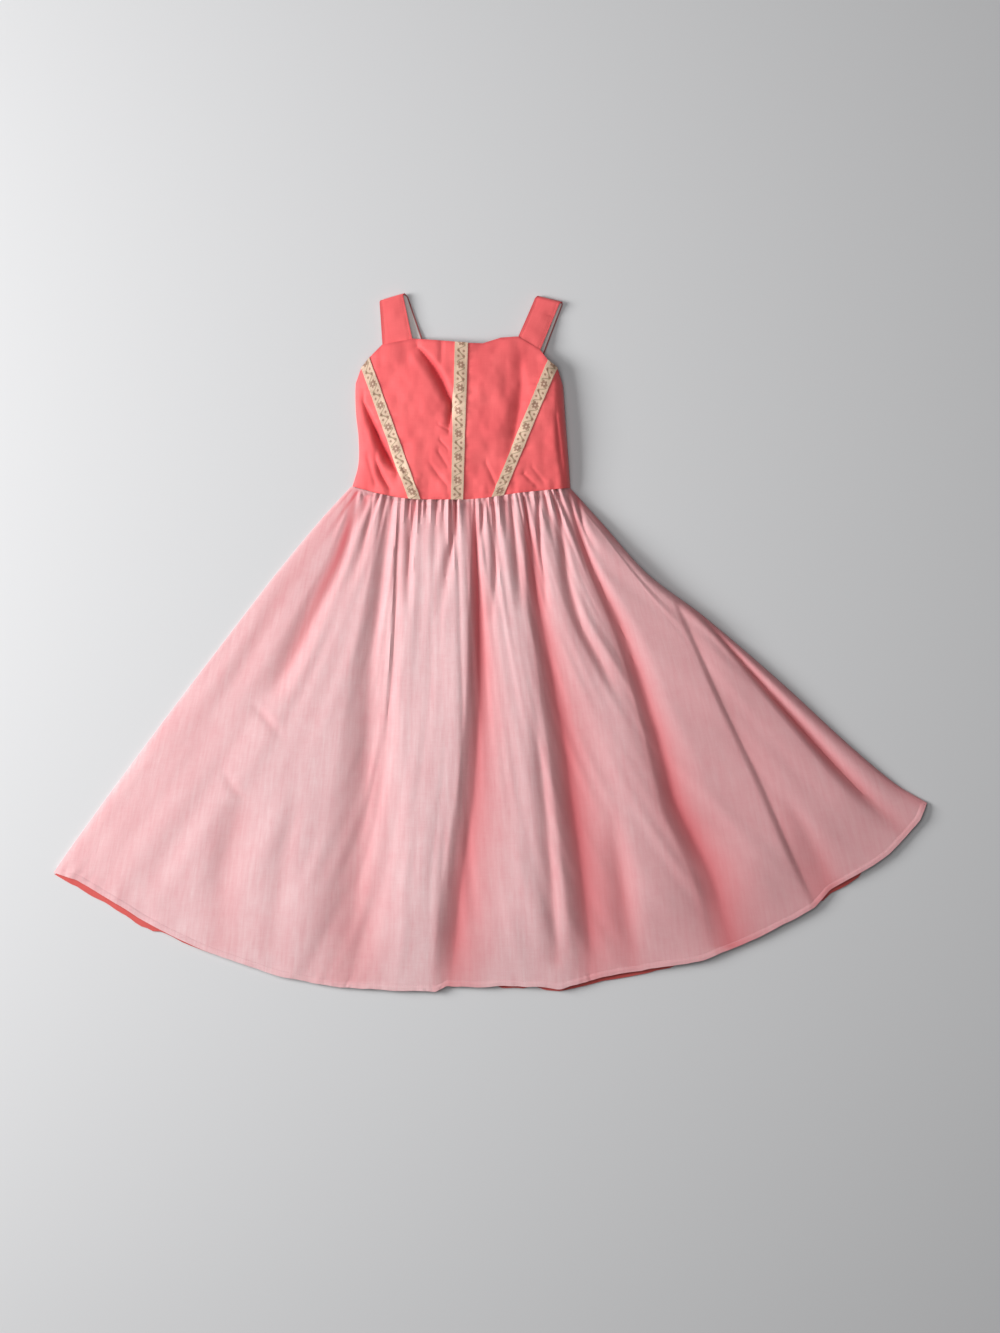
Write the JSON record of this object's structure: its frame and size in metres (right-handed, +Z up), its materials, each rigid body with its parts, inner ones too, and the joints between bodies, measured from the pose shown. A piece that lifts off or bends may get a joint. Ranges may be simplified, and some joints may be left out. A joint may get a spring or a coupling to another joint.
{
  "type": "sleeveless girls dress laid flat",
  "caption": "Girl's sleeveless dress laid flat: fitted coral bodice with wide straps and woven trim, full gathered pink skirt, lining at the hem.",
  "frame": {"origin": "the middle of the dress's box, on the surface that it lies on", "axes": "+Z up out of the surface, +Y from the hem towards the straps, +X to the right as seen from above with the straps away from the viewer"},
  "size_m": [1.1344, 0.9072, 0.0268],
  "materials": {
    "skirt": "plain-woven pink chambray",
    "lining": "plain coral cotton",
    "bodice": "close-woven coral cotton with a slight sheen",
    "trim": "woven jacquard ribbon in cream and gold"
  },
  "bodies": {
    "root": {"skirt_front": "skirt", "skirt_back": "skirt", "skirt_lining": "lining", "bodice_front": "bodice", "bodice_back_left": "bodice", "bodice_back_right": "bodice", "strap_left": "bodice", "strap_right": "bodice", "trim_left": "trim", "trim_centre": "trim", "trim_right": "trim"}
  },
  "joints": []
}
